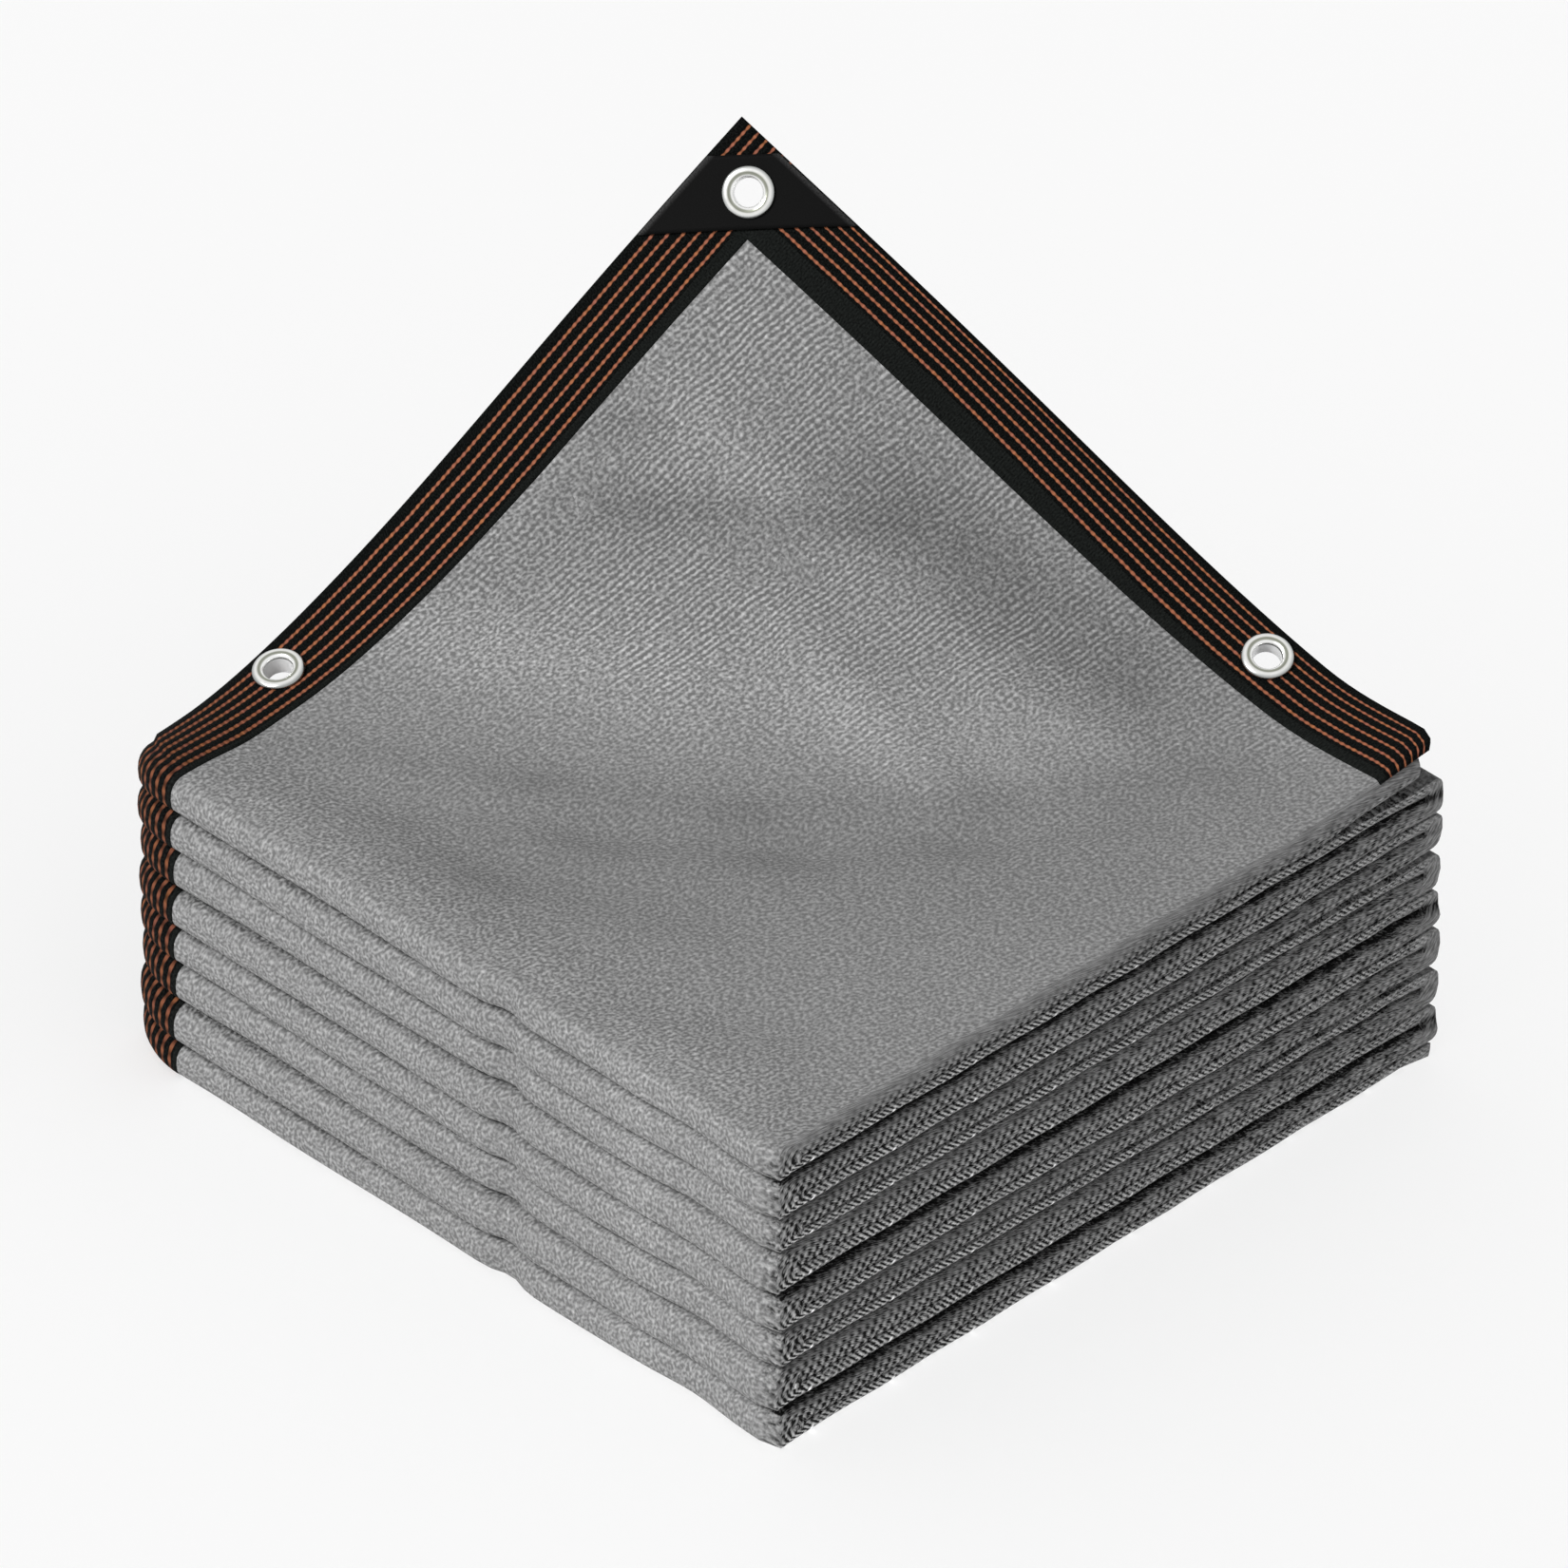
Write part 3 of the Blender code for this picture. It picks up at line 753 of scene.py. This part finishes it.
# The pattern of the weave, in mm
STRIPE_FIRST = 5.2
STRIPE_PITCH = 4.65
STRIPE_COUNT = 6
STRIPE_HALF = 0.50
STRIPE_LAST = STRIPE_FIRST + STRIPE_PITCH * (STRIPE_COUNT - 1)
BEAD_PITCH = 3.4
HATCH_PITCH = 1.5
ORANGE = (0.42, 0.155, 0.065, 1.0)
DUSKY_ORANGE = (0.36, 0.125, 0.085, 1.0)


def webbing_finish():
    """Near-black ribs with thin stripes of orange dashes, and plain borders with a fine
    hatch across them. Where the webbing is bunched the stripes are wider and browner."""
    material, tree, shader = new_finish("webbing", 0.8)
    shader.inputs["Specular IOR Level"].default_value = 0.035
    across, along = cloth_place(tree)
    plus, times = sums(tree)
    across = plus(across, times(stretched_noise(tree, across, along, 30.0, 18.0), 0.5))
    from_first = plus(across, -STRIPE_FIRST)
    number = arithmetic(tree, "ROUND", arithmetic(tree, "DIVIDE", from_first, STRIPE_PITCH))
    number = arithmetic(tree, "MAXIMUM", number, 0.0)
    number = arithmetic(tree, "MINIMUM", number, STRIPE_COUNT - 1.0)
    aside = arithmetic(tree, "ABSOLUTE", plus(from_first, times(number, -STRIPE_PITCH)))
    bead_turn = plus(times(along, 2 * math.pi / BEAD_PITCH), times(number, 1.9))
    beads = arithmetic(tree, "SINE", bead_turn)
    bunched = piece_value(tree, "bunched")
    edge = plus(STRIPE_HALF, times(beads, 0.12), times(bunched, 0.34))
    stripe = plus(times(plus(edge, times(aside, -1.0)), 3.0), 0.5, clamp=True)
    tint = stretched_noise(tree, times(number, 7.0), along, 1.0, 6.0)
    tint = plus(0.5, times(tint, 2.4), clamp=True)
    orange = add_node(
        tree, "ShaderNodeMix", {0: tint, 6: ORANGE, 7: DUSKY_ORANGE}, data_type="RGBA"
    ).outputs[2]
    dim = plus(0.82, times(beads, 0.18), times(bunched, -0.48))
    orange = add_node(
        tree, "ShaderNodeVectorMath", {0: orange, 3: dim}, operation="SCALE"
    ).outputs[0]
    grain = stretched_noise(tree, across, along, 0.9, 0.7)
    inner = arithmetic(tree, "GREATER_THAN", across, STRIPE_LAST + 2.0)
    dark = plus(0.0035, times(inner, 0.005), times(grain, 0.024))
    dark = arithmetic(tree, "MAXIMUM", dark, 0.001)
    ribs = add_node(
        tree, "ShaderNodeCombineColor", {0: times(dark, 0.95), 1: times(dark, 1.08), 2: dark}
    ).outputs[0]
    colour = add_node(tree, "ShaderNodeMix", {0: stripe, 6: ribs, 7: orange}, data_type="RGBA")
    tree.links.new(colour.outputs[2], shader.inputs["Base Color"])
    rib = arithmetic(tree, "COSINE", times(from_first, 2 * math.pi / STRIPE_PITCH))
    hatch = arithmetic(tree, "SINE", times(along, 2 * math.pi / HATCH_PITCH))
    emboss(tree, shader, plus(times(rib, -0.5), times(hatch, 0.25), grain), 0.6, 0.4 * MM)
    return material


def strip_section(width):
    """Places across a flat strip and the share of its half thickness, round the section:
    over the top from the outer edge to the inner one, and back under. The share falls to
    nothing at both edges along a quarter circle."""
    across = width * (1 - np.cos(np.linspace(0, math.pi, STRIP_COLUMNS))) / 2
    from_edge = np.minimum(np.minimum(across, width - across), WEBBING_ROUND)
    share = np.sqrt(1 - (1 - from_edge / WEBBING_ROUND) ** 2)
    return (
        np.concatenate((across, across[-2:0:-1])),
        np.concatenate((share, -share[-2:0:-1])),
    )


webbing = webbing_finish()
across, thick_share = strip_section(BINDING)
middle, normal, half, _ = folded_stack(across, DEEP, DEEP, BINDING_GAP)
row_length = np.linalg.norm(np.diff(middle[:, STRIP_COLUMNS // 2], axis=0), axis=-1)
binding_run = np.concatenate(([0.0], np.cumsum(row_length)))
half = half + WEBBING_PROUD
thick_half = np.minimum(WEBBING_THICKNESS, half - 0.1 * MM) / 2
across_closed = np.concatenate((across, across[:1])) * WEBBING_WIDTH / BINDING
# Near the left corner the webbing is bunched, the stripes spread and the inner border narrows
from_corner = (middle[:, :1, 1] + DEEP / 2) / DEEP
bunched = 1 - smooth_step(from_corner / 0.35)
spread = 0.86 + 0.14 * smooth_step((from_corner - 0.4) / 0.6)
binding_uv = np.stack(np.broadcast_arrays(across_closed * spread, binding_run[:, None]), -1)
side_tapes = []
for ply, way in (("upper", 1), ("lower", -1)):
    offset = way * (half - thick_half) + thick_half * thick_share
    points = middle + normal * offset[..., None]
    points[..., 2] = np.maximum(points[..., 2], 0.0)
    side_tape = make_piece(f"side_tape_{ply}", points, binding_uv, webbing, tube=True)
    set_attribute(side_tape, "bunched", np.broadcast_to(bunched, points.shape[:2]))
    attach(side_tape, "root")
    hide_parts("side_binding", "side_binding_lifted")
    side_tapes.append(side_tape)

# Webbing on the ends of the sheet
# The same webbing goes across both ends, on both plies. On top, where the right edge lifts, it
# turns over the folded edge. The strip below that one and the two on the lowest layer stop
# short of the edge.
END_COLUMNS = 60
LOWER_END_COLUMNS = 40
END_TOP_HALF = 0.6 * MM
END_BOTTOM_HALF = 0.7 * MM
# Further along, the stripes sit further in from the outer edge and wider apart: where that
# starts and how long it takes, the shift at the outer edge, and its growth across the width
SHIFT_FROM = 90 * MM
SHIFT_OVER = 190 * MM
SHIFT_OUTER = 2.2 * MM
SHIFT_SHARE = 0.07

end_share_across, end_share = strip_section(1.0)
tape_start = BINDING - 1.5 * MM
u_edge, edge_share, edge_distance = hairpin(tape_start, END_COLUMNS, 2)
wrapped = (np.arange(len(u_edge)) < END_COLUMNS) | (edge_share > math.cos(TAPE_WRAP) - 0.01)
wrapped[-2:] = False


def end_tape(name, surface, share, distance, half_thickness):
    """Strip along one ply, or round its folded edge, at a share of the half thickness. Its
    section lies across the sheet's end, and its surfaces sit half its thickness outside and
    inside the ply's own surface."""
    middle, normal, half = surface
    offset = half_thickness * end_share[None, :]
    inner = share[:, None] * (half + WEBBING_PROUD - half_thickness + offset)
    points = middle + normal * inner[..., None]
    points[..., 0] += np.sqrt(np.maximum(1 - share ** 2, 0.0))[:, None] * offset
    points[..., 2] = np.maximum(points[..., 2], 0.0)
    closed = np.concatenate((end_share_across, end_share_across[:1])) * WEBBING_WIDTH
    shifted = smooth_step((distance[:, None] - SHIFT_FROM) / SHIFT_OVER)
    striped = closed - shifted * (SHIFT_OUTER + SHIFT_SHARE * closed)
    uv = np.stack(np.broadcast_arrays(striped, distance[:, None]), -1)
    return make_piece(name, points[:, ::-1], uv[:, ::-1], webbing, tube=True)


def end_grid(u_line):
    """Places on the sheet under an end tape, whose outer corner is round in plan."""
    outer = DEEP - rounding(u_line - (WIDE - TAPE_CORNER), TAPE_CORNER)[:, None]
    inner = DEEP - BINDING
    across_end = outer + (inner - outer) * end_share_across[None, :]
    return np.broadcast_to(u_line[:, None], across_end.shape), across_end


end_top = end_tape(
    "end_tape_top", top_surface(*end_grid(u_edge[wrapped]), BINDING_GAP),
    edge_share[wrapped], edge_distance[wrapped], END_TOP_HALF,
)
u_lower = np.linspace(tape_start, LOWER_END_STOP, LOWER_END_COLUMNS)
upper_ply = np.ones(len(u_lower))
end_under = end_tape(
    "end_tape_under", top_surface(*end_grid(u_lower), BINDING_GAP),
    -upper_ply, u_lower, END_TOP_HALF,
)
u_grid, v_grid = end_grid(u_lower)
height, quarter = layer_middle(0, u_grid, v_grid)
bottom_middle = np.stack((u_grid - WIDE / 2, v_grid - DEEP / 2, height - BINDING_GAP / 2), -1)
bottom_surface = (
    bottom_middle, np.broadcast_to(np.array((0.0, 0.0, 1.0)), bottom_middle.shape),
    quarter - BINDING_GAP / 2 - WEBBING_PROUD,
)
end_bottom = end_tape("end_tape_bottom", bottom_surface, upper_ply, u_lower, END_BOTTOM_HALF)
end_lowest = end_tape("end_tape_lowest", bottom_surface, -upper_ply, u_lower, END_BOTTOM_HALF)
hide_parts("end_binding_top")
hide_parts("end_binding_top")
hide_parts("end_binding_bottom")
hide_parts("end_binding_bottom")
end_tapes = [end_top, end_under, end_bottom, end_lowest]
for tape in end_tapes:
    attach(tape, "root")

# Corner patch
# A smooth black plate of reinforced film, pressed over the corner of the webbing. It is cut
# square across near the tip and again past the eyelet.
PATCH_NEAR = 22.5 * MM
PATCH_FAR = 68 * MM
PATCH_THICKNESS = 0.8 * MM
PATCH_INSET = 0.6 * MM
PATCH_CLEAR = 0.45 * MM
# Width of the painted highlight along the patch's edges, in mm
PATCH_HIGHLIGHT_WIDTH = 3.2


def patch_finish():
    """Smooth black film, speckled, and a little lighter towards its pressed edges with a speckled
    painted highlight.
    """
    material, tree, shader = new_finish("patch", 0.5)
    shader.inputs["Specular IOR Level"].default_value = 0.03
    across, along = cloth_place(tree)
    plus, times = sums(tree)
    speckle = stretched_noise(tree, across, along, 0.7, 0.7, 2.0)
    from_rim = arithmetic(tree, "MINIMUM", across, along)
    # Painted highlight along the two outer edges, fading over its width
    rim = plus(1.0, times(from_rim, -1 / PATCH_HIGHLIGHT_WIDTH), clamp=True)
    rim = arithmetic(tree, "MAXIMUM", times(rim, plus(0.045, times(speckle, 0.16))), 0.0)
    tone = plus(0.0055, times(speckle, 0.004), rim)
    colour = add_node(tree, "ShaderNodeCombineColor", {0: tone, 1: tone, 2: tone}).outputs[0]
    tree.links.new(colour, shader.inputs["Base Color"])
    emboss(tree, shader, speckle, 0.15, 0.2 * MM)
    return material


reach = np.linspace(PATCH_NEAR, PATCH_FAR, 19)[:, None]
step = np.linspace(0, 1, 33)[None, :]
in_side = PATCH_INSET + (reach - PATCH_INSET) * step
in_end = PATCH_INSET + (reach - PATCH_INSET) * (1 - step)
middle, normal, half = top_surface(in_side, DEEP - in_end, BINDING_GAP)
lift_off = half + WEBBING_PROUD + PATCH_CLEAR + PATCH_THICKNESS
patch_points = middle + normal * lift_off[..., None]
patch_uv = np.stack(np.broadcast_arrays(in_side, in_end), -1)
patch = make_piece("corner_plate", patch_points[::-1], patch_uv[::-1], patch_finish())
thicken = patch.modifiers.new("plate", "SOLIDIFY")
thicken.thickness = PATCH_THICKNESS
thicken.offset = -1.0
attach(patch, "root")
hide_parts("corner_patch")

# Eyelets
# Rolled rings of nickelled brass, pressed through the webbing with a washer underneath. One
# goes through the corner patch and one through each edge of the lifted corner.
EYELET_BORE = 12.7 * MM
EYELET_NECK = 14.4 * MM
EYELET_FLANGE = 23.3 * MM
EYELET_DOME = 2.0 * MM
EYELET_WASHER = 0.9 * MM
EYELET_SIDES = 96
DOME_STEPS = 25
DOME_POWER = 0.8
CUTTER_DEPTH = 24 * MM
BORE_CLEARANCE = 0.2 * MM
OVER_PATCH = 0.3 * MM
# Painted light and shade on the plate across the dome, from the rim of the flange at 0 to the bore
# at 0.5
NICKEL_PAINTED_SHADING = (
    (0.04, (0.34, 0.35, 0.34)),
    (0.10, (0.60, 0.61, 0.60)),
    (0.17, (0.86, 0.86, 0.84)),
    (0.23, (0.74, 0.74, 0.71)),
    (0.28, (0.26, 0.27, 0.22)),
    (0.36, (0.34, 0.35, 0.30)),
    (0.41, (0.90, 0.90, 0.89)),
    (0.48, (0.90, 0.90, 0.89)),
    (0.50, (0.45, 0.46, 0.44)),
    (0.53, (0.92, 0.92, 0.92)),
)
# Painted shade at the flange's outer rim, and the dull white of the barrel
RIM_PAINTED_SHADE = (0.30, 0.31, 0.30)
BARREL_SHADE = (0.92, 0.92, 0.92)
# Place of each eyelet across and along the sheet, and how far its ring sits off the cloth
EYELETS = {
    "eyelet_left": (15.5 * MM, DEEP - 315 * MM, 1.4 * MM),
    "eyelet_corner": (24 * MM, DEEP - 22 * MM, 0.5 * MM),
    "eyelet_right": (319 * MM, DEEP - 15.5 * MM, 1.1 * MM),
}


def nickel_finish():
    """Bright nickel plate. Its colour across the dome holds painted light and shade: painted olive
    shade in the roll's inner slope, grey painted shade on the outer flange, painted highlights on
    the dome, and dull white inside the barrel."""
    material, tree, shader = new_finish("nickel", 0.22)
    plus, times = sums(tree)
    place = add_node(tree, "ShaderNodeTexCoord").outputs["Object"]
    noise = add_node(tree, "ShaderNodeTexNoise", {"Vector": place, "Scale": 260.0, "Detail": 2.0})
    cloudy = noise.outputs[0]
    round_wall = piece_value(tree, "round_wall")
    barrel = arithmetic(tree, "GREATER_THAN", round_wall, 1.02)
    tree.links.new(arithmetic(tree, "SUBTRACT", 1.0, barrel), shader.inputs["Metallic"])
    # Painted light and shade across the dome, read from the ramp
    painted_shading_ramp = add_node(tree, "ShaderNodeValToRGB", {0: times(round_wall, 0.5)})
    ramp = painted_shading_ramp.color_ramp
    ramp.elements[0].color = (*RIM_PAINTED_SHADE, 1.0)
    ramp.elements[1].position = 1.0
    ramp.elements[1].color = (*BARREL_SHADE, 1.0)
    for stop, shade in NICKEL_PAINTED_SHADING:
        ramp.elements.new(stop).color = (*shade, 1.0)
    colour = add_node(tree, "ShaderNodeVectorMath", {
        0: painted_shading_ramp.outputs[0], 3: plus(0.90, times(cloudy, 0.18)),
    }, operation="SCALE").outputs[0]
    tree.links.new(colour, shader.inputs["Base Color"])
    tree.links.new(plus(0.14, times(cloudy, 0.16)), shader.inputs["Roughness"])
    return material


def ring_profile(seat, base):
    """Radius and height round a ring's wall: the dome is half an ellipse from the bore to
    the flange, and the washer below is flat with a rolled rim."""
    bore = EYELET_BORE / 2
    flange = EYELET_FLANGE / 2
    angle = np.linspace(0, math.pi, DOME_STEPS)
    dome = np.stack((
        (bore + flange) / 2 + (flange - bore) / 2 * np.cos(angle),
        seat + EYELET_DOME * np.sin(angle) ** DOME_POWER,
    ), -1)
    barrel = np.stack((
        np.full(6, bore), np.linspace(seat, base - EYELET_WASHER, 8)[1:-1],
    ), -1)
    angle = np.linspace(-math.pi / 2, 0, 5)
    rim = np.stack((
        flange - EYELET_WASHER + EYELET_WASHER * np.cos(angle),
        base + EYELET_WASHER * np.sin(angle),
    ), -1)
    foot = np.array(((bore, base - EYELET_WASHER), ((bore + flange) / 2, base - EYELET_WASHER)))
    neck = EYELET_NECK / 2
    inside = np.array(((neck, base), (neck, seat)))
    return np.concatenate((dome, barrel, foot, rim, inside))


def eyelet_place(name):
    """Matrix at an eyelet's place with z along the cloth's normal, and half the cloth."""
    u, v, _ = EYELETS[name]
    middle, normal, half = top_surface(np.array(u), np.array(v), BINDING_GAP)
    turned = Vector(normal).to_track_quat("Z", "Y").to_matrix().to_4x4()
    return Matrix.Translation(Vector(middle)) @ turned, float(half)


def turned_ring(name, profile, place, material):
    """Surface of revolution: the closed profile is carried round the place's z axis. Each
    point holds its share across the dome, and two where it is past the dome."""
    around = np.linspace(0, 2 * math.pi, EYELET_SIDES, endpoint=False)[:, None]
    radius, height = profile[:, 0], profile[:, 1]
    points = np.stack(
        np.broadcast_arrays(radius * np.cos(around), radius * np.sin(around), height), -1
    )
    turned = np.array(place.to_3x3())
    points = points @ turned.T + np.array(place.translation) + CENTRING
    rows, columns = points.shape[:2]
    index = np.arange(rows * columns).reshape(rows, columns)
    right = np.roll(index, -1, 1)
    quads = np.stack((index, right, np.roll(right, -1, 0), np.roll(index, -1, 0)), -1)
    mesh = bpy.data.meshes.new(name)
    mesh.from_pydata(points.reshape(-1, 3).tolist(), [], quads.reshape(-1, 4).tolist())
    work = bmesh.new()
    work.from_mesh(mesh)
    bmesh.ops.recalc_face_normals(work, faces=work.faces)
    work.to_mesh(mesh)
    work.free()
    mesh.shade_smooth()
    mesh.set_sharp_from_angle(angle=math.radians(50))
    mesh.materials.append(material)
    piece = bpy.data.objects.new(name, mesh)
    scene.collection.objects.link(piece)
    across_dome = (1 - np.cos(np.linspace(0, math.pi, DOME_STEPS))) / 2
    round_wall = np.concatenate((across_dome, np.full(len(profile) - DOME_STEPS, 2.0)))
    set_attribute(piece, "round_wall", np.tile(round_wall, EYELET_SIDES))
    return piece


def pierce(piece, name):
    """Cut the clearance hole for an eyelet's neck and keep the cut mesh."""
    place, _ = eyelet_place(name)
    radius = EYELET_NECK / 2 + BORE_CLEARANCE
    mesh = bpy.data.meshes.new("cutter")
    work = bmesh.new()
    bmesh.ops.create_cone(
        work, cap_ends=True, segments=48, radius1=radius, radius2=radius, depth=CUTTER_DEPTH,
        matrix=Matrix.Translation(Vector(CENTRING)) @ place,
    )
    work.to_mesh(mesh)
    work.free()
    cutter = bpy.data.objects.new("cutter", mesh)
    scene.collection.objects.link(cutter)
    cut = piece.modifiers.new("bore", "BOOLEAN")
    cut.object = cutter
    cut.solver = "EXACT"
    graph = bpy.context.evaluated_depsgraph_get()
    cut_mesh = bpy.data.meshes.new_from_object(piece.evaluated_get(graph))
    piece.modifiers.clear()
    old = piece.data
    piece.data = cut_mesh
    bpy.data.meshes.remove(old)
    bpy.data.objects.remove(cutter)
    bpy.data.meshes.remove(mesh)


for tape in side_tapes:
    pierce(tape, "eyelet_left")
    pierce(tape, "eyelet_corner")
pierce(end_top, "eyelet_right")
pierce(end_under, "eyelet_right")
pierce(patch, "eyelet_corner")
nickel = nickel_finish()
for name, (_, _, seat) in EYELETS.items():
    place, half_cloth = eyelet_place(name)
    over = PATCH_THICKNESS + OVER_PATCH if name == "eyelet_corner" else 0.0
    profile = ring_profile(half_cloth + over + seat, -half_cloth - seat)
    ring = turned_ring(name.replace("eyelet", "ring"), profile, place, nickel)
    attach(ring, "root")
    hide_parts(name)
